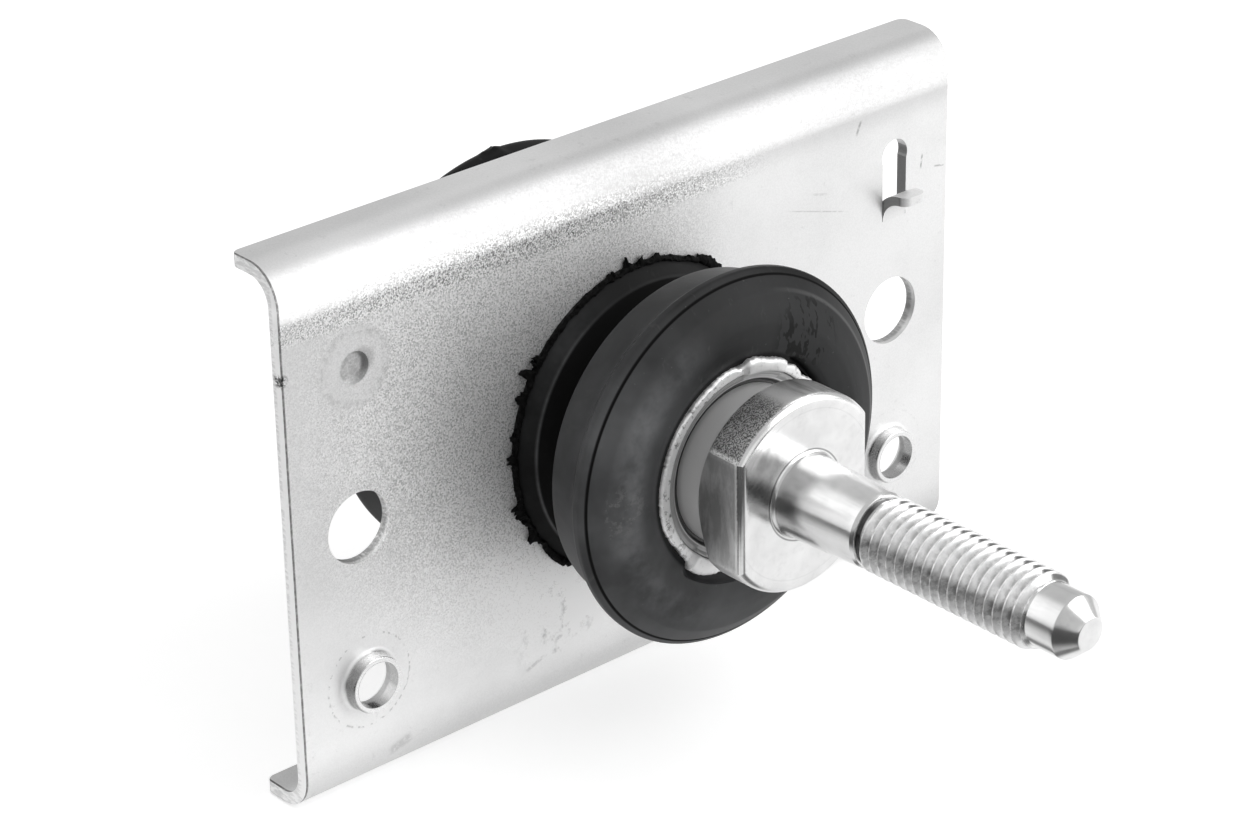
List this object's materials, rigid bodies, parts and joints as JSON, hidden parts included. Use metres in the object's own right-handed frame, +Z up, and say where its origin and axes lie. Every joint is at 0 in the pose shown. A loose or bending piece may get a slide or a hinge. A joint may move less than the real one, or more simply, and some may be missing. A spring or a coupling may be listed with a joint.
{
  "type": "engine mount",
  "caption": "Engine mount with a folded steel plate, a moulded rubber isolator, a steel core sleeve and a long threaded stud.",
  "frame": {"origin": "on the stud's axis, in the plate's front face, midway between the two bolt holes", "axes": "X along the plate's width, -Y out of the plate along the stud, +Z up towards the hook slot"},
  "size_m": [0.1336, 0.1306, 0.089],
  "materials": {
    "plate_zinc": "satin",
    "isolator_rubber": "matte",
    "sleeve_steel": "matte",
    "stud_zinc": "satin"
  },
  "bodies": {
    "root": {"mounting_plate": "plate_zinc", "rubber_isolator": "isolator_rubber", "core_sleeve": "sleeve_steel", "stud": "stud_zinc"}
  },
  "joints": []
}
